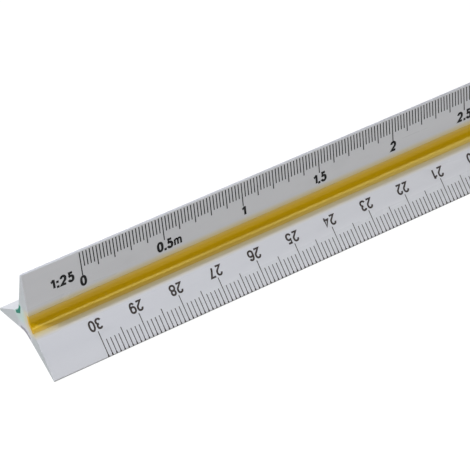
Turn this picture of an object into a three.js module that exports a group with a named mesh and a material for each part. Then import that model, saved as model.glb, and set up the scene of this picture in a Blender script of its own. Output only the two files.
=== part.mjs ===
// Triangular scale ruler, 300 mm of graduations.
//
// A white plastic extrusion with three wedge-shaped blades at 120 degrees, and a coloured strip
// let into each of the three valleys between the blades. Nothing on it moves.
//
// Frame: millimetres. X runs along the ruler, with zero at the middle of its length, Z is up and
// Y points to the back. The ruler stands on two of its drawing edges, at Z = 0, with the third
// blade upright above the middle.

import * as THREE from "three";

// ---- Driving dimensions, in millimetres ----

const RULER_LENGTH = 327; // cut end to cut end
const EDGE_TO_EDGE = 24.7; // between two neighbouring drawing edges
const ROOT_HALF_THICKNESS = 2.83; // half a blade's wedge, carried in to the section's centre
const EDGE_RADIUS = 0.33; // rounding of a drawing edge
const STRIP_FLANK = 2.1; // width of a strip's flank, from the valley's corner out
const STRIP_THICKNESS = 0.8;
const STRIP_CLEARANCE = 0.3; // between a strip and the rebate that it lies in
const VALLEY_RADIUS = 4; // rounding along the middle of a strip

const EDGE_STEPS = 8; // facets round a drawing edge
const VALLEY_STEPS = 8; // facets across a valley's rounding

// ---- Section geometry that follows from the dimensions ----

const BLADES = 3;
const BLADE_PITCH = (2 * Math.PI) / BLADES;
const UPRIGHT_BLADE_ANGLE = Math.PI / 2;

// The section's centre to the outermost point of a drawing edge.
const bladeReach = EDGE_TO_EDGE / Math.sqrt(3);

// The centre of a drawing edge's rounding, measured out from the section's centre.
const edgeCentre = bladeReach - EDGE_RADIUS;

// A blade's face is tangent to its rounded edge and passes the section's centre at the root
// thickness, which fixes the angle between the face and the blade's middle plane.
const wedgeAngle =
  Math.acos(EDGE_RADIUS / Math.hypot(ROOT_HALF_THICKNESS, edgeCentre)) -
  Math.atan2(edgeCentre, ROOT_HALF_THICKNESS);

// Two neighbouring faces meet at the valley's corner, on the line midway between their blades.
const valleyHalfAngle = BLADE_PITCH / 2 + wedgeAngle;
const valleyCorner =
  (ROOT_HALF_THICKNESS * Math.cos(wedgeAngle)) / Math.sin(valleyHalfAngle);

// How far the section's centre stands above the two drawing edges that the ruler rests on.
const centreHeight = edgeCentre * Math.cos(BLADE_PITCH / 2) + EDGE_RADIUS;

const sectionCentre = new THREE.Vector2(0, 0);

// A point in the frame of one valley: the X axis is the line midway between the two blades, and
// side is +1 or -1 for the two faces. It lies "along" from the corner and "deep" under the face.
function valleyPoint(side, along, deep) {
  const x =
    valleyCorner +
    along * Math.cos(valleyHalfAngle) -
    deep * Math.sin(valleyHalfAngle);
  const y = along * Math.sin(valleyHalfAngle) + deep * Math.cos(valleyHalfAngle);
  return new THREE.Vector2(x, side * y);
}

// The point on the valley's middle line that lies "deep" under both faces.
function valleyMiddle(deep) {
  return new THREE.Vector2(valleyCorner - deep / Math.sin(valleyHalfAngle), 0);
}

// Points of an arc, both ends included.
function arcPoints(centreX, radius, startAngle, endAngle, steps) {
  const points = [];
  for (let i = 0; i <= steps; i += 1) {
    const angle = THREE.MathUtils.lerp(startAngle, endAngle, i / steps);
    const x = centreX + radius * Math.cos(angle);
    points.push(new THREE.Vector2(x, radius * Math.sin(angle)));
  }
  return points;
}

function turned(points, angle) {
  return points.map((point) => point.clone().rotateAround(sectionCentre, angle));
}

// ---- Body: the white extrusion ----

// One blade with half a valley on each side, along +X: the rebate's floor, its shoulder, the
// face, the rounded drawing edge, and back along the other face.
function bladeOutline() {
  const rebateDepth = STRIP_THICKNESS + STRIP_CLEARANCE;
  const rebateFlank = STRIP_FLANK + STRIP_CLEARANCE;
  const faceNormalAngle = Math.PI / 2 - wedgeAngle;
  const lowerValley = [
    valleyMiddle(rebateDepth),
    valleyPoint(1, rebateFlank, rebateDepth),
    valleyPoint(1, rebateFlank, 0),
  ];
  const upperValley = [
    valleyPoint(-1, rebateFlank, 0),
    valleyPoint(-1, rebateFlank, rebateDepth),
  ];
  return [
    ...turned(lowerValley, -BLADE_PITCH / 2),
    ...arcPoints(edgeCentre, EDGE_RADIUS, -faceNormalAngle, faceNormalAngle, EDGE_STEPS),
    ...turned(upperValley, BLADE_PITCH / 2),
  ];
}

function bodyOutline() {
  const points = [];
  for (let blade = 0; blade < BLADES; blade += 1) {
    const angle = UPRIGHT_BLADE_ANGLE + blade * BLADE_PITCH;
    points.push(...turned(bladeOutline(), angle));
  }
  return points;
}

// ---- Valley strips: the coloured inlays ----

// A bent strip of even thickness, in the valley's frame: its flanks lie flush with the blades'
// faces, and its show side is rounded along the middle.
function stripOutline() {
  const roundingCentre = valleyCorner + VALLEY_RADIUS / Math.sin(valleyHalfAngle);
  const roundingStart = Math.PI / 2 + valleyHalfAngle;
  const roundingEnd = 2 * Math.PI - roundingStart;
  return [
    valleyPoint(1, STRIP_FLANK, 0),
    ...arcPoints(roundingCentre, VALLEY_RADIUS, roundingStart, roundingEnd, VALLEY_STEPS),
    valleyPoint(-1, STRIP_FLANK, 0),
    valleyPoint(-1, STRIP_FLANK, STRIP_THICKNESS),
    valleyMiddle(STRIP_THICKNESS),
    valleyPoint(1, STRIP_FLANK, STRIP_THICKNESS),
  ];
}

// ---- Meshes ----

// Every piece is cut to the ruler's length with it, so all of them share one extrusion.
function extruded(outline) {
  const options = { depth: RULER_LENGTH, steps: 1, bevelEnabled: false };
  return new THREE.ExtrudeGeometry(new THREE.Shape(outline), options);
}

function plastic(colour, roughness) {
  return new THREE.MeshStandardMaterial({ color: colour, roughness, metalness: 0 });
}

function piece(name, outline, material, turn) {
  const mesh = new THREE.Mesh(extruded(outline), material);
  mesh.name = name;
  mesh.rotation.z = turn;
  mesh.position.z = -RULER_LENGTH / 2;
  return mesh;
}

// The section is drawn in a plane and extruded along that plane's normal. Turning it a third of
// a turn about the space diagonal brings the drawing's axes to Y and Z, and its normal to X.
const section = new THREE.Group();
section.quaternion.setFromAxisAngle(new THREE.Vector3(1, 1, 1).normalize(), (2 * Math.PI) / 3);
section.position.z = centreHeight;

section.add(piece("body", bodyOutline(), plastic(0xd7d7db, 0.3), 0));

// Counted round from the upright blade: the front valley, the one that faces down, the back one.
const strips = [
  ["yellow_valley_strip", 0xd4a703],
  ["grey_valley_strip", 0x9e9ba1],
  ["green_valley_strip", 0x12816b],
];
strips.forEach(([name, colour], valley) => {
  const angle = UPRIGHT_BLADE_ANGLE + (valley + 0.5) * BLADE_PITCH;
  section.add(piece(name, stripOutline(), plastic(colour, 0.35), angle));
});

const ruler = new THREE.Group();
ruler.add(section);

export default ruler;
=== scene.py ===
import math

import bmesh
import bpy
from mathutils import Matrix, Quaternion, Vector
from mathutils.geometry import delaunay_2d_cdt


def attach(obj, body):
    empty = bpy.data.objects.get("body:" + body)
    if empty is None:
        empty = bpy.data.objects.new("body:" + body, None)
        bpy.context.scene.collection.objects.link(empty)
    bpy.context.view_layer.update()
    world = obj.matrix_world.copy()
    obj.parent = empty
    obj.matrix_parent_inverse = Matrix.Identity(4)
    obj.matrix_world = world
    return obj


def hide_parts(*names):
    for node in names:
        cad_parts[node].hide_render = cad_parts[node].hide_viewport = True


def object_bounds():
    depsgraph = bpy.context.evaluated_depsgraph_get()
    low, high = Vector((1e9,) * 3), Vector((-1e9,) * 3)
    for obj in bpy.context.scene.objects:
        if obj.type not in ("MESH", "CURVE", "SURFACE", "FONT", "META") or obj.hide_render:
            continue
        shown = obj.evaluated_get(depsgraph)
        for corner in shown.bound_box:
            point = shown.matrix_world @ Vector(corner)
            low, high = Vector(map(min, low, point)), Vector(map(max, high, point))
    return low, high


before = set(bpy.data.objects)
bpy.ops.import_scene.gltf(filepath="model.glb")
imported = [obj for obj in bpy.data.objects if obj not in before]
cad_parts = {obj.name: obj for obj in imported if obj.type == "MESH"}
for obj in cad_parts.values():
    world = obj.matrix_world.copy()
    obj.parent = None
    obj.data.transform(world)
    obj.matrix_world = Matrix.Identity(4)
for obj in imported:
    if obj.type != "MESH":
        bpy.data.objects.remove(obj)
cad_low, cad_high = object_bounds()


# ---- White extrusion ----
# The ruler itself is one length of white plastic extrusion with three wedge blades, cooled in a
# calibrator that leaves faint lines along it. A rebate for a coloured strip runs down each valley,
# and both ends are sawn square and eased with a scraper.

MM = 0.001
EDGE_RADIUS = 0.33 * MM
ROOT_HALF_THICKNESS = 2.83 * MM
STRIP_FLANK = 2.1 * MM
STRIP_THICKNESS = 0.8 * MM
SEAM = 0.012 * MM  # what is left open round a strip once it is pressed in
EASED_CORNER = 0.03 * MM  # of a rebate's lip and of a strip's edge
EXTRUSION_END_EASING = 0.045 * MM
EASING_BELLY = 0.3  # how far in the middle of an eased end corner lies, as a share of the easing
SHARP_CORNER = math.radians(15)  # faces that meet more steeply than this keep their crease
EDGE_STEPS = 24
BLADE_PITCH = math.radians(120)
BLADE_ANGLES = [math.radians(90 + 120 * blade) for blade in range(3)]

# The lower blades lean at 60 degrees from upright, so the height is the upright blade's reach,
# half of that again for the centre above the table, and half an edge's radius.
near_end, far_end = cad_low.x, cad_high.x
blade_reach = (cad_high.z - EDGE_RADIUS / 2) / 1.5
edge_centre = blade_reach - EDGE_RADIUS
centre_height = cad_high.z - blade_reach
root_angle = math.atan2(edge_centre, ROOT_HALF_THICKNESS)
wedge_angle = math.acos(EDGE_RADIUS / math.hypot(ROOT_HALF_THICKNESS, edge_centre)) - root_angle
valley_half_angle = BLADE_PITCH / 2 + wedge_angle
valley_corner = ROOT_HALF_THICKNESS * math.cos(wedge_angle) / math.sin(valley_half_angle)


def polar(distance, angle):
    """A point of the cross-section, as Y and Z from the section's centre."""
    return Vector((distance * math.cos(angle), distance * math.sin(angle)))


def blade_directions(blade_angle, side):
    """Out along a blade's face, and straight out of the face, for the blade's side 1 or -1."""
    outward = polar(1, blade_angle)
    across = polar(side, blade_angle + math.pi / 2)
    along_face = outward * math.cos(wedge_angle) - across * math.sin(wedge_angle)
    normal = across * math.cos(wedge_angle) + outward * math.sin(wedge_angle)
    return along_face, normal


def face_point(blade_angle, side, drop, lift=0.0):
    """The point "drop" in from where the edge's rounding meets the face; below zero it goes
    round the drawing edge. "lift" is how far it stands off the plastic."""
    along_face, normal = blade_directions(blade_angle, side)
    rounding_centre = polar(edge_centre, blade_angle)
    if drop >= 0:
        return rounding_centre + normal * (EDGE_RADIUS + lift) - along_face * drop
    turn = -drop / EDGE_RADIUS
    direction = normal * math.cos(turn) + along_face * math.sin(turn)
    return rounding_centre + direction * (EDGE_RADIUS + lift)


def arc(centre, start, end, steps):
    """Points from start to end round the centre, the short way."""
    first = math.atan2(start.y - centre.y, start.x - centre.x)
    last = math.atan2(end.y - centre.y, end.x - centre.x)
    sweep = (last - first + math.pi) % (2 * math.pi) - math.pi
    radius = (start - centre).length
    return [centre + polar(radius, first + sweep * i / steps) for i in range(steps + 1)]


valley_line = polar(valley_corner, BLADE_ANGLES[0] + BLADE_PITCH / 2)
along_face = blade_directions(BLADE_ANGLES[0], 1)[0]
face_width = (face_point(BLADE_ANGLES[0], 1, 0) - valley_line).dot(along_face)


def body_outline():
    """The three blades one after another, each with half a rebate on either side."""
    depth = STRIP_THICKNESS + SEAM
    shoulder = face_width - STRIP_FLANK - SEAM
    deepest = valley_corner - depth / math.sin(valley_half_angle)
    points = []
    for blade_angle in BLADE_ANGLES:
        points += [
            face_point(blade_angle, -1, shoulder, -depth),
            face_point(blade_angle, -1, shoulder, -EASED_CORNER),
            face_point(blade_angle, -1, shoulder - EASED_CORNER),
        ]
        start = face_point(blade_angle, -1, 0)
        tip = polar(blade_reach, blade_angle)
        end = face_point(blade_angle, 1, 0)
        rounding_centre = polar(edge_centre, blade_angle)
        points += arc(rounding_centre, start, tip, EDGE_STEPS // 2)
        points += arc(rounding_centre, tip, end, EDGE_STEPS // 2)[1:]
        points += [
            face_point(blade_angle, 1, shoulder - EASED_CORNER),
            face_point(blade_angle, 1, shoulder, -EASED_CORNER),
            face_point(blade_angle, 1, shoulder, -depth),
            polar(deepest, blade_angle + BLADE_PITCH / 2),
        ]
    return points


def inset(points, distance):
    """The closed outline drawn in by a distance, its corners mitred."""
    moved = []
    for i, point in enumerate(points):
        before = (point - points[i - 1]).normalized()
        after = (points[(i + 1) % len(points)] - point).normalized()
        normals = Vector((-before.y, before.x)), Vector((-after.y, after.x))
        mitre = (normals[0] + normals[1]) / (1 + normals[0].dot(normals[1]))
        moved.append(point + mitre * distance)
    return moved


def run_along(name, outline, easing):
    """A mesh of the outline run from one sawn end to the other, the end corners eased."""
    belly = easing * EASING_BELLY
    stations = [(0.0, easing), (belly, belly), (easing, 0.0)]
    rings = [(near_end + x, draw_in) for x, draw_in in stations]
    rings += [(far_end - x, draw_in) for x, draw_in in reversed(stations)]
    shape = bmesh.new()
    made = []
    for x, draw_in in rings:
        ring = inset(outline, draw_in)
        made.append([shape.verts.new((x, p.x, p.y + centre_height)) for p in ring])
    for first, second in zip(made, made[1:]):
        for i in range(len(outline)):
            shape.faces.new((first[i - 1], first[i], second[i], second[i - 1]))
    for ring in (made[0], made[-1]):
        shape.faces.new(ring).material_index = 1
    bmesh.ops.recalc_face_normals(shape, faces=shape.faces)
    mesh = bpy.data.meshes.new(name)
    shape.to_mesh(mesh)
    shape.free()
    mesh.shade_smooth()
    mesh.set_sharp_from_angle(angle=SHARP_CORNER)
    piece = bpy.data.objects.new(name, mesh)
    bpy.context.scene.collection.objects.link(piece)
    return piece


class Shade:
    """A shader socket that ordinary arithmetic works on."""

    def __init__(self, tree, socket=None):
        self.tree = tree
        self.socket = socket

    def node(self, kind, settings, inputs, output=0):
        """A new node, its settings set before its sockets, as the output that is asked for."""
        made = self.tree.nodes.new(kind)
        for name, value in settings.items():
            setattr(made, name, value)
        for name, value in inputs.items():
            if isinstance(value, Shade):
                self.tree.links.new(value.socket, made.inputs[name])
            else:
                made.inputs[name].default_value = value
        return Shade(self.tree, made.outputs[output] if made.outputs else None)

    def math(self, operation, a, b):
        return self.node("ShaderNodeMath", {"operation": operation}, {0: a, 1: b})

    def __add__(self, other):
        return self.math("ADD", self, other)

    def __sub__(self, other):
        return self.math("SUBTRACT", self, other)

    def __rsub__(self, other):
        return self.math("SUBTRACT", other, self)

    def __mul__(self, other):
        return self.math("MULTIPLY", self, other)

    __radd__ = __add__
    __rmul__ = __mul__

    def noise(self, place, stretch, scale, detail=4.0):
        """Noise over the object, drawn out along each axis whose factor is below one."""
        drawn_out = self.node(
            "ShaderNodeVectorMath", {"operation": "MULTIPLY"}, {0: place, 1: stretch}
        )
        return self.node(
            "ShaderNodeTexNoise", {}, {"Vector": drawn_out, "Scale": scale, "Detail": detail}
        )

    def span(self, low, high):
        """Where this value passes from low to high, from 0 to 1 with soft ends."""
        return self.node(
            "ShaderNodeMapRange",
            {"interpolation_type": "SMOOTHSTEP"},
            {"Value": self, "From Min": low, "From Max": high},
        )

    def blend(self, first, second):
        """From the first colour to the second as this value goes from 0 to 1."""
        settings = {"data_type": "RGBA"}
        return self.node("ShaderNodeMix", settings, {0: self, 6: first, 7: second}, 2)

    def bump(self, height, strength, depth):
        """A surface normal that follows the height."""
        inputs = {"Strength": strength, "Distance": depth, "Height": height}
        return self.node("ShaderNodeBump", {}, inputs)


def new_material(name):
    """A new material, a Shade that adds nodes to it, and the place in the ruler as a vector."""
    material = bpy.data.materials.new(name)
    material.use_nodes = True
    material.node_tree.nodes.clear()
    shade = Shade(material.node_tree)
    place = shade.node("ShaderNodeTexCoord", {}, {}, "Object")
    return material, shade, place


def finish_material(material, shade, **sockets):
    """Ends a material in a surface with the sockets given, their spaces written as underscores."""
    inputs = {name.replace("_", " "): value for name, value in sockets.items()}
    surface = shade.node("ShaderNodeBsdfPrincipled", {}, inputs)
    shade.node("ShaderNodeOutputMaterial", {}, {"Surface": surface})
    return material


ALONG = (0.04, 1.0, 1.0)  # noise drawn out along the ruler, as an extruder's die leaves it
PLASTIC = (0.650, 0.652, 0.668, 1)
PLASTIC_CLOUDED = (0.630, 0.632, 0.650, 1)
# The grime colour is also used as painted shade along the edges the ruler stands on.
PLASTIC_GRIME_AND_SHADE = (0.22, 0.23, 0.23, 1)
# The sawn end's colours are painted shade: the same plastic, made darker and bluer than its faces.
SAWN_END_PAINTED_SHADE = (0.47, 0.49, 0.495, 1)
SAWN_END_PAINTED_SHADE_DULL = (0.42, 0.445, 0.44, 1)
PAINTED_SHADE_HEIGHT = 0.52 * MM  # how high up the edges it stands on the painted shade reaches
# Painted light and shade near the valleys: the white plastic is darkened and tinted with each
# strip's colour, as its bounced light would tint it.
PAINTED_VALLEY_SHADE_REACH = 3.9 * MM  # from the valley's corner
PAINTED_VALLEY_SHADE_TINTS = [(0.65, 0.53, 0.24, 1), (0.60, 0.59, 0.62, 1), (0.45, 0.62, 0.55, 1)]  # for each valley
PAINTED_VALLEY_SHADE_ON_SAWN_END = 0.6
BUMP_DEPTH = 0.03 * MM


def from_valley(shade, place, blade_angle):
    """The distance from the corner of the valley between a blade and the next one round."""
    corner = polar(valley_corner, blade_angle + BLADE_PITCH / 2)
    valley = (0, corner.x, corner.y + centre_height)
    section = shade.node(
        "ShaderNodeVectorMath", {"operation": "MULTIPLY"}, {0: place, 1: (0, 1, 1)}
    )
    return shade.node(
        "ShaderNodeVectorMath", {"operation": "DISTANCE"}, {0: section, 1: valley}, "Value"
    )


def with_painted_valley_shade(shade, place, colour, strength):
    """The colour with painted shade near each valley, tinted as the strip's bounced light would
    tint it.
    """
    for blade_angle, valley_shade_tint in zip(BLADE_ANGLES, PAINTED_VALLEY_SHADE_TINTS):
        away = from_valley(shade, place, blade_angle).span(STRIP_FLANK, PAINTED_VALLEY_SHADE_REACH)
        colour = ((1.0 - away) * strength).blend(colour, valley_shade_tint)
    return colour


def plastic_skin():
    material, shade, place = new_material("white_plastic_skin")
    clouding = shade.noise(place, ALONG, 180.0).span(0.35, 0.7)
    die_lines = shade.noise(place, (0.004, 1.0, 1.0), 2600.0, 2.0)
    scuffs = shade.noise(place, (0.5, 1.0, 1.0), 420.0, 8.0).span(0.62, 0.72)
    hairlines = shade.noise(place, (0.12, 1.0, 1.0), 5200.0, 1.0).span(0.70, 0.74)
    grime = shade.noise(place, (0.35, 1.0, 1.0), 260.0, 6.0).span(0.60, 0.85) * 0.12
    # Painted shade: the edges the ruler stands on are darker towards the bottom, where they face
    # the floor.
    height_up = shade.node("ShaderNodeSeparateXYZ", {}, {0: place}, "Z")
    painted_resting_shade = 1.0 - height_up.span(cad_low.z + PAINTED_SHADE_HEIGHT * 0.7, cad_low.z + PAINTED_SHADE_HEIGHT)
    colour = with_painted_valley_shade(shade, place, clouding.blend(PLASTIC, PLASTIC_CLOUDED), 1.0)
    colour = (grime + 0.8 * painted_resting_shade).blend(colour, PLASTIC_GRIME_AND_SHADE)
    roughness = 0.27 + 0.05 * clouding + 0.10 * scuffs + 0.12 * hairlines
    height = 0.5 * die_lines + 0.12 * scuffs - 0.25 * hairlines
    bump = shade.bump(height, 0.10, BUMP_DEPTH)
    return finish_material(
        material,
        shade,
        Base_Color=colour,
        Roughness=roughness,
        IOR=1.49,
        Normal=bump,
    )


def sawn_plastic():
    material, shade, place = new_material("white_plastic_sawn_end")
    saw_marks = shade.node(
        "ShaderNodeTexWave",
        {"wave_type": "BANDS", "bands_direction": "Z"},
        {"Vector": place, "Scale": 900.0, "Distortion": 3.0, "Detail": 3.0},
        "Fac",
    )
    grain = shade.noise(place, (1.0, 1.0, 1.0), 1500.0)
    # The sawn end is painted darker and bluer than the faces as painted shade; grain and saw marks
    # vary it.
    colour = (grain * 0.7 + saw_marks * 0.3).blend(SAWN_END_PAINTED_SHADE, SAWN_END_PAINTED_SHADE_DULL)
    colour = with_painted_valley_shade(shade, place, colour, PAINTED_VALLEY_SHADE_ON_SAWN_END)
    height = saw_marks + 0.6 * grain
    bump = shade.bump(height, 0.25, BUMP_DEPTH)
    return finish_material(
        material,
        shade,
        Base_Color=colour,
        Roughness=0.45 + 0.15 * grain,
        IOR=1.49,
        Normal=bump,
    )


white_extrusion = run_along("white_extrusion", body_outline(), EXTRUSION_END_EASING)
white_extrusion.data.materials.append(plastic_skin())
white_extrusion.data.materials.append(sawn_plastic())
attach(white_extrusion, "root")
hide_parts("body")


# ---- Coloured valley strips ----
# A bent strip of dyed plastic is pressed and glued into each valley's rebate, so that a scale is
# found by its colour. It lies flush with the faces, and its middle is rounded where it was drawn.

VALLEY_RADIUS = 4.0 * MM
VALLEY_STEPS = 16
STRIP_END_EASING = 0.035 * MM
DUST = (0.45, 0.42, 0.36, 1)
PALING_FROM = 0.45  # of a strip's flank, counted out from the valley's corner
PALING = 0.35
STRIPS = [
    {
        "node": "yellow_valley_strip",
        "slot": "yellow_strip",
        "fresh": (0.66, 0.390, 0.002, 1),
        "worn": (0.59, 0.340, 0.001, 1),
        "sheen": (1.0, 0.92, 0.32, 1),
    },
    {
        "node": "grey_valley_strip",
        "slot": "grey_strip",
        "fresh": (0.34, 0.325, 0.355, 1),
        "worn": (0.30, 0.285, 0.315, 1),
        "sheen": (1.0, 1.0, 1.0, 1),
    },
    {
        "node": "green_valley_strip",
        "slot": "green_strip",
        "fresh": (0.006, 0.22, 0.145, 1),
        "worn": (0.004, 0.18, 0.12, 1),
        "sheen": (0.80, 1.0, 0.90, 1),
    },
]


def strip_outline(blade_angle):
    """The strip between a blade and the next one round."""
    next_angle = blade_angle + BLADE_PITCH
    middle = blade_angle + BLADE_PITCH / 2
    flank_edge = face_width - STRIP_FLANK
    tangent = face_width - VALLEY_RADIUS / math.tan(valley_half_angle)
    rounding_centre = polar(valley_corner + VALLEY_RADIUS / math.sin(valley_half_angle), middle)
    points = [
        face_point(blade_angle, 1, flank_edge, -EASED_CORNER),
        face_point(blade_angle, 1, flank_edge + EASED_CORNER),
    ]
    start, end = face_point(blade_angle, 1, tangent), face_point(next_angle, -1, tangent)
    points += arc(rounding_centre, start, end, VALLEY_STEPS)
    points += [
        face_point(next_angle, -1, flank_edge + EASED_CORNER),
        face_point(next_angle, -1, flank_edge, -EASED_CORNER),
        face_point(next_angle, -1, flank_edge, -STRIP_THICKNESS),
        polar(valley_corner - STRIP_THICKNESS / math.sin(valley_half_angle), middle),
        face_point(blade_angle, 1, flank_edge, -STRIP_THICKNESS),
    ]
    return points


def sawn_strip_end(strip):
    material, shade, place = new_material(strip["node"] + "_sawn_end")
    grain = shade.noise(place, (1.0, 1.0, 1.0), 2500.0)
    bump = shade.bump(grain, 0.25, BUMP_DEPTH)
    return finish_material(
        material,
        shade,
        Base_Color=grain.blend(strip["fresh"], strip["worn"]),
        Roughness=0.55 + 0.15 * grain,
        IOR=1.45,
        Specular_IOR_Level=0.25,
        Normal=bump,
    )


def dyed_plastic(strip, blade_angle, valley_shade_tint):
    """The strip's show side, a little paler towards its edges where white plastic is close."""
    material, shade, place = new_material(strip["node"] + "_plastic")
    from_corner = from_valley(shade, place, blade_angle)
    edges = from_corner.span(STRIP_FLANK * PALING_FROM, STRIP_FLANK)
    streaks = shade.noise(place, ALONG, 700.0).span(0.35, 0.7)
    draw_lines = shade.noise(place, (0.01, 1.0, 1.0), 3200.0, 2.0)
    dust = shade.noise(place, (0.7, 1.0, 1.0), 900.0, 6.0).span(0.66, 0.82) * 0.10
    # Towards its edges the strip is blended into the painted shade tint of the white plastic
    # beside it.
    colour = (edges * PALING).blend(streaks.blend(strip["fresh"], strip["worn"]), valley_shade_tint)
    colour = dust.blend(colour, DUST)
    bump = shade.bump(draw_lines, 0.12, BUMP_DEPTH)
    return finish_material(
        material,
        shade,
        Base_Color=colour,
        Roughness=0.16 + 0.05 * streaks + 0.2 * dust,
        IOR=1.45,
        Specular_IOR_Level=0.60,
        Specular_Tint=strip["sheen"],
        Normal=bump,
    )


for blade_angle, valley_shade_tint, strip in zip(BLADE_ANGLES, PAINTED_VALLEY_SHADE_TINTS, STRIPS):
    inlay = run_along(strip["node"] + "_inlay", strip_outline(blade_angle), STRIP_END_EASING)
    inlay.data.materials.append(dyed_plastic(strip, blade_angle, valley_shade_tint))
    inlay.data.materials.append(sawn_strip_end(strip))
    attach(inlay, "root")
    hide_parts(strip["node"])


# ---- Printed scales ----
# Six scales are printed on the faces in black ink, one to a face: a graduation for every small
# step, longer ones at the round values, and upright figures under them. Each scale reads from the
# left with its drawing edge upward. The ink stands about a hundredth of a millimetre proud.

INK_SUNK = 0.005 * MM
INK_LIFT = 0.012 * MM
FIGURE_WIDTH = 0.60  # of a figure's height
FIGURE_GAP = 0.06  # between two characters, of their height
THIN_STROKES = {"m": 0.74, "1": 0.92}  # of the stroke, for characters drawn with a finer pen
SAME_POINT = 1e-6  # of a character's box
SHARPEST_MITRE = -0.6  # the cosine between two strokes' normals at which a corner is blunted
CUT_TOLERANCE = 1e-4  # of a stroke
BEAD_SPREAD = 1.8  # a graduation's width where the ink has gathered, to its ordinary width
BEAD_LENGTH = 0.35 * MM


def bow(centre_x, centre_y, width, height, start, end, steps=14, squareness=2.3):
    """Part of a rounded loop, in degrees, as a pen draws it; the sides are a little straight."""
    points = []
    for i in range(steps + 1):
        angle = math.radians(start + (end - start) * i / steps)
        c, s = math.cos(angle), math.sin(angle)
        x = math.copysign(abs(c) ** (2 / squareness), c)
        y = math.copysign(abs(s) ** (2 / squareness), s)
        points.append((centre_x + width * x, centre_y + height * y))
    return points


# The pen's path for each character, in a box one unit wide and high; a path that ends where it
# starts is a closed loop. Then the character's width, as a share of its height. A nine is a six
# turned upside down, and a dot is a square as wide as the stroke, wherever it is drawn.
SIX = [bow(0.5, 0.31, 0.5, 0.31, 90, 450, 24), bow(0.5, 0.5, 0.5, 0.5, 38, 190, 12)]
CHARACTERS = {
    "0": ([bow(0.5, 0.5, 0.5, 0.5, 0, 360, 28)], FIGURE_WIDTH),
    "1": ([[(1.0, 0.0), (1.0, 1.0)], [(0.0, 0.74), (0.5, 0.80), (1.0, 1.0)]], 0.45),
    "2": ([bow(0.5, 0.70, 0.47, 0.30, 175, -40) + [(0.0, 0.0), (1.0, 0.0)]], FIGURE_WIDTH),
    "3": (
        [bow(0.48, 0.765, 0.43, 0.235, 165, -90), bow(0.48, 0.265, 0.5, 0.265, 90, -165)],
        FIGURE_WIDTH,
    ),
    "4": ([[(0.76, 0.0), (0.76, 1.0), (0.0, 0.26), (1.0, 0.26)]], FIGURE_WIDTH),
    "5": (
        [[(0.92, 1.0), (0.2, 1.0), (0.07, 0.47)] + bow(0.48, 0.32, 0.5, 0.32, 135, -165)],
        FIGURE_WIDTH,
    ),
    "6": (SIX, FIGURE_WIDTH),
    "7": ([[(0.0, 1.0), (1.0, 1.0), (0.62, 0.55), (0.42, 0.27), (0.34, 0.0)]], FIGURE_WIDTH),
    "8": (
        [bow(0.5, 0.77, 0.43, 0.23, 0, 360, 22), bow(0.5, 0.27, 0.5, 0.27, 0, 360, 24)],
        FIGURE_WIDTH,
    ),
    "9": ([[(1 - x, 1 - y) for x, y in path] for path in SIX], FIGURE_WIDTH),
    "m": (
        [
            [(0.0, 0.0), (0.0, 0.68)],
            [(0.0, 0.45)] + bow(0.25, 0.45, 0.25, 0.23, 150, 0, 8) + [(0.5, 0.0)],
            [(0.5, 0.45)] + bow(0.75, 0.45, 0.25, 0.23, 150, 0, 8) + [(1.0, 0.0)],
        ],
        0.72,
    ),
    ".": ([[(0.0, 0.0), (1.0, 0.0)]], 0.17),
    ":": ([[(0.0, 0.0), (1.0, 0.0)], [(0.0, 0.6), (1.0, 0.6)]], 0.30),
}


def pen_quads(path, stroke):
    """The path drawn with a broad pen, as one quad for each straight bit, their joints mitred."""
    points = [Vector(p) for p in path]
    closed = (points[0] - points[-1]).length < SAME_POINT
    if closed:
        points.pop()
    count = len(points)
    sides = []
    for i, point in enumerate(points):
        before = point - points[i - 1] if closed or i else points[1] - point
        after = points[(i + 1) % count] - point if closed or i < count - 1 else before
        normals = [Vector((-d.y, d.x)).normalized() for d in (before, after)]
        turn = max(normals[0].dot(normals[1]), SHARPEST_MITRE)
        mitre = (normals[0] + normals[1]) / (1 + turn)
        sides.append((point + mitre * stroke / 2, point - mitre * stroke / 2))
    pairs = zip(sides, sides[1:] + sides[:1] if closed else sides[1:])
    return [(a[0], a[1], b[1], b[0]) for a, b in pairs]


def outside_edges(faces):
    """The edges that only one of the faces has."""
    directed = {(face[i - 1], face[i]) for face in faces for i in range(len(face))}
    return [(a, b) for a, b in directed if (b, a) not in directed]


def cut_character(character, height, stroke):
    """A character as flat triangles: its points, its faces and its width."""
    paths, share = CHARACTERS[character]
    stroke *= THIN_STROKES.get(character, 1.0)
    width = share * height
    inner_width, inner_height = width - stroke, height - stroke
    corners, quads = [], []
    for path in paths:
        drawn = [(stroke / 2 + x * inner_width, stroke / 2 + y * inner_height) for x, y in path]
        if character in ".:":
            y = drawn[0][1]
            drawn = [((width - stroke) / 2, y), ((width + stroke) / 2, y)]
        for quad in pen_quads(drawn, stroke):
            quads.append([len(corners) + i for i in range(4)])
            corners += quad
    cut = delaunay_2d_cdt(corners, [], quads, 0, stroke * CUT_TOLERANCE, True)
    points, faces, quads_under = cut[0], cut[2], cut[5]
    inked = [face for face, under in zip(faces, quads_under) if under]
    return points, inked, width


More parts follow.
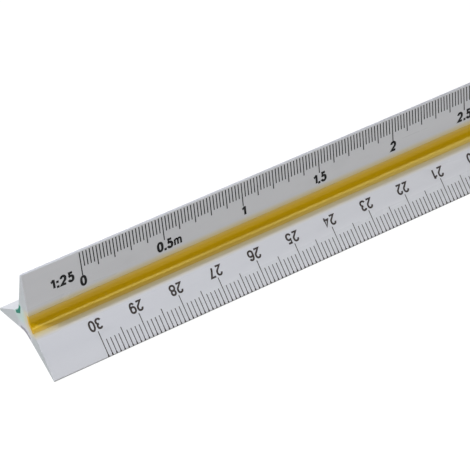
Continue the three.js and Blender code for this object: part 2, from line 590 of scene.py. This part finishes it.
class InkedFace:
    """One face of a blade, with places on it counted from the scale's zero."""

    def __init__(self, blade_angle, side, blank):
        self.blade_angle = blade_angle
        self.side = side
        self.zero = near_end + blank if side > 0 else far_end - blank

    def point(self, along, drop, lift):
        p = face_point(self.blade_angle, self.side, drop, lift)
        return Vector((self.zero + self.side * along, p.x, p.y + centre_height))

    def plate(self, shape, points, faces):
        """A thin closed plate of ink from flat points and faces."""
        bottom = [shape.verts.new(self.point(x, drop, -INK_SUNK)) for x, drop in points]
        top = [shape.verts.new(self.point(x, drop, INK_LIFT)) for x, drop in points]
        for face in faces:
            shape.faces.new([top[i] for i in face])
            shape.faces.new([bottom[i] for i in reversed(face)])
        for a, b in outside_edges(faces):
            shape.faces.new((top[b], top[a], bottom[a], bottom[b]))

    def graduation(self, shape, along, start, end, width):
        """One line of a scale; where it goes round the edge the ink has gathered in a bead."""
        stations = [(start, 1.0), (end, 1.0)]
        if start < 0:
            bead = [(start * share, BEAD_SPREAD) for share in (1.0, 0.67, 0.33, 0.0)]
            stations = bead + [(BEAD_LENGTH, 1.0), (end, 1.0)]
        left = [(along - width / 2 * spread, drop) for drop, spread in stations]
        right = [(along + width / 2 * spread, drop) for drop, spread in stations]
        count = len(stations)
        faces = [(i, i + 1, count + i + 1, count + i) for i in range(count - 1)]
        self.plate(shape, left + right, faces)

    def write(self, shape, text, left, top, height, stroke):
        """Writes the text, and gives the place where a next character would start."""
        for character in text:
            points, faces, width = cut_character(character, height, stroke)
            placed = [(left + p.x, top + height - p.y) for p in points]
            self.plate(shape, placed, faces)
            left += width + FIGURE_GAP * height
        return left


def text_width(text, height):
    widths = [CHARACTERS[character][1] for character in text]
    return (sum(widths) + FIGURE_GAP * (len(text) - 1)) * height


INK_BUMP_DEPTH = 0.01 * MM


def ink(name, tone, faded):
    """Ink that has worn a little in patches."""
    material, shade, place = new_material(name)
    patches = shade.noise(place, (1.0, 1.0, 1.0), 900.0, 6.0).span(0.45, 0.75)
    grain = shade.noise(place, (1.0, 1.0, 1.0), 9000.0, 2.0)
    bump = shade.bump(grain, 0.15, INK_BUMP_DEPTH)
    return finish_material(
        material,
        shade,
        Base_Color=patches.blend(tone, faded),
        Roughness=0.50 + 0.14 * grain,
        IOR=1.45,
        Specular_IOR_Level=0.25,
        Normal=bump,
    )


dense_ink = ink("dense_black_ink", (0.006, 0.006, 0.007, 1), (0.018, 0.017, 0.017, 1))
thin_ink = ink("thin_brown_black_ink", (0.058, 0.047, 0.043, 1), (0.080, 0.067, 0.062, 1))

# Two ways to print, in millimetres: the blank from the sawn end to zero, then how far in from the
# rounded edge the graduations start, the small, middle and long ones end, and the figures and the
# ratio have their tops. The light printing starts below zero, which is round the drawing edge.
HEAVY = {
    "blank": 13.65,
    "start": 0.10,
    "small_end": 3.95,
    "middle_end": 5.05,
    "long_end": 6.10,
    "line_width": 0.25,
    "figure_top": 6.10,
    "figure_height": 2.72,
    "stroke": 0.60,
    "ink": dense_ink,
}
LIGHT = {
    "blank": 13.85,
    "start": -0.25,
    "small_end": 3.50,
    "middle_end": 4.60,
    "long_end": 5.70,
    "line_width": 0.19,
    "figure_top": 5.88,
    "figure_height": 2.52,
    "stroke": 0.44,
    "ink": thin_ink,
}
RATIO_TOP = 3.85
RATIO_GAP = 1.9  # between the ratio and zero
SCALE_LENGTH = 300.0
ROUNDING_ROOM = 1e-6  # keeps a last step that lands on the scale's end

# For each face: the blade, its side, the ratio, the millimetres to one metre drawn, the small
# step in millimetres with how many make a middle and a long one, the metres to a figure, and the
# printing.
SCALES = [
    ("top_front_1_25", 0, 1, "1:25", 40.0, 0.8, 5, 25, 0.5, HEAVY),
    ("front_upper_1_100", 1, -1, "1:100", 10.0, 1.0, 5, 10, 1.0, LIGHT),
    ("front_lower_1_75", 1, 1, "1:75", 40.0 / 3, 4.0 / 3, 5, 10, 1.0, LIGHT),
    ("back_lower_1_125", 2, -1, "1:125", 8.0, 0.8, 5, 10, 1.0, HEAVY),
    ("back_upper_1_50", 2, 1, "1:50", 20.0, 1.0, 2, 10, 1.0, LIGHT),
    ("top_back_1_20", 0, -1, "1:20", 50.0, 1.0, 5, 25, 0.5, HEAVY),
]


def ink_piece(name, shape, material):
    bmesh.ops.recalc_face_normals(shape, faces=shape.faces)
    mesh = bpy.data.meshes.new(name)
    shape.to_mesh(mesh)
    shape.free()
    mesh.materials.append(material)
    piece = bpy.data.objects.new(name, mesh)
    bpy.context.scene.collection.objects.link(piece)
    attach(piece, "root")


def steps_in_scale(step):
    return range(int(SCALE_LENGTH / step + ROUNDING_ROOM) + 1)


def graduation_end(i, middle, long, printing):
    """How far in the graduation number i ends; round values have the longer ones."""
    if i % long == 0:
        return printing["long_end"] * MM
    if i % middle == 0:
        return printing["middle_end"] * MM
    return printing["small_end"] * MM


for name, blade, side, ratio, metre, step, middle, long, figure_step, printing in SCALES:
    face = InkedFace(BLADE_ANGLES[blade], side, printing["blank"] * MM)
    start, line_width = printing["start"] * MM, printing["line_width"] * MM
    marks = bmesh.new()
    for i in steps_in_scale(step):
        end = graduation_end(i, middle, long, printing)
        face.graduation(marks, i * step * MM, start, end, line_width)
    ink_piece(name + "_graduations", marks, printing["ink"])

    top, height = printing["figure_top"] * MM, printing["figure_height"] * MM
    stroke = printing["stroke"] * MM
    writing = bmesh.new()
    for i in steps_in_scale(metre * figure_step):
        text = f"{i * figure_step:g}"
        left = i * figure_step * metre * MM - text_width(text, height) / 2
        text_end = face.write(writing, text, left, top, height, stroke)
        if i == 1:
            face.write(writing, "m", text_end, top, height, stroke)
    ratio_left = -RATIO_GAP * MM - text_width(ratio, height)
    face.write(writing, ratio, ratio_left, RATIO_TOP * MM, height, stroke)
    ink_piece(name + "_figures", writing, printing["ink"])


# ---- Floor, light and camera ----
# Pale paper that glows, so that the ruler stands on plain white. A narrow lamp stands high behind
# the upright blade, a softbox in front and a large one overhead, and the sky is white to look at
# but adds little light.

FLOOR_REACH = 6.0  # metres from its middle to a side
FLOOR_DROP = 0.05 * MM  # below the edges that the ruler stands on
PAPER = (0.10, 0.10, 0.10, 1)
PAPER_FIBRES = (0.12, 0.12, 0.12, 1)
PAPER_GLOW = 0.94
SKY_SEEN = 1.0
SKY_LIGHT = 0.03

scene = bpy.context.scene
scene.view_settings.view_transform = "Standard"

floor_mesh = bpy.data.meshes.new("paper_floor")
floor_shape = bmesh.new()
bmesh.ops.create_grid(floor_shape, x_segments=1, y_segments=1, size=FLOOR_REACH)
floor_shape.to_mesh(floor_mesh)
floor_shape.free()
floor = bpy.data.objects.new("paper_floor", floor_mesh)
floor.location.z = cad_low.z - FLOOR_DROP
scene.collection.objects.link(floor)
paper, paper_shade, paper_place = new_material("white_paper")
fibres = paper_shade.noise(paper_place, (1.0, 1.0, 1.0), 60.0)
finish_material(
    paper,
    paper_shade,
    Base_Color=fibres.blend(PAPER, PAPER_FIBRES),
    Roughness=0.9,
    Emission_Color=(1, 1, 1, 1),
    Emission_Strength=PAPER_GLOW,
)
floor_mesh.materials.append(paper)

sky = bpy.data.worlds.new("even_sky")
sky.use_nodes = True
sky.node_tree.nodes.clear()
sky_shade = Shade(sky.node_tree)
seen = sky_shade.node("ShaderNodeLightPath", {}, {}, "Is Camera Ray")
background = sky_shade.node(
    "ShaderNodeBackground",
    {},
    {"Color": (1, 1, 1, 1), "Strength": seen * (SKY_SEEN - SKY_LIGHT) + SKY_LIGHT},
)
sky_shade.node("ShaderNodeOutputWorld", {}, {"Surface": background})
scene.world = sky

# The point on the ruler that the lamps and the camera are turned to.
aim = Vector((near_end + 51.63 * MM, -1.355 * MM, 7.355 * MM))


def softbox(name, direction, distance, size, power, along=(1, 0, 0), colour=(1, 1, 1)):
    """A lamp that shines at the ruler from a direction, its longer side lying along another."""
    light = bpy.data.lights.new(name, "AREA")
    light.shape = "RECTANGLE"
    light.size, light.size_y = size
    light.energy = power
    light.color = colour
    lamp = bpy.data.objects.new(name, light)
    away = Vector(direction).normalized()
    lamp.location = aim + away * distance
    across = away.cross(Vector(along)).normalized()
    lamp.rotation_euler = Matrix((across.cross(away), across, away)).transposed().to_euler()
    scene.collection.objects.link(lamp)


COOL_WHITE = (0.84, 0.88, 1.0)
softbox("high_back_light", (-0.52, 0.266, 0.88), 0.318, (0.06, 0.004), 0.72, colour=COOL_WHITE)
softbox("front_softbox", (0.385, -0.715, 0.583), 1.2, (0.62, 0.25), 2.75, along=(0.89, 0.45, 0))
softbox("overhead_softbox", (-0.5, 0.0, 1.0), 0.9, (0.6, 0.6), 2.55)

VIEW_AZIMUTH = math.radians(32.83)
VIEW_ELEVATION = math.radians(44.71)
VIEW_ROLL = math.radians(0.73)
VIEW_DISTANCE = 449.7 * MM
LENS = 156.5  # millimetres, as is the sensor's width
SENSOR_WIDTH = 36.0

looking = Vector(
    (
        math.cos(VIEW_ELEVATION) * math.sin(VIEW_AZIMUTH),
        math.cos(VIEW_ELEVATION) * math.cos(VIEW_AZIMUTH),
        -math.sin(VIEW_ELEVATION),
    )
)
camera_data = bpy.data.cameras.new("camera")
camera_data.lens = LENS
camera_data.sensor_width = SENSOR_WIDTH
camera_data.clip_start = 0.01
camera = bpy.data.objects.new("camera", camera_data)
camera.location = aim - looking * VIEW_DISTANCE
camera.rotation_mode = "QUATERNION"
camera.rotation_quaternion = looking.to_track_quat("-Z", "Y") @ Quaternion((0, 0, 1), VIEW_ROLL)
scene.collection.objects.link(camera)
scene.camera = camera
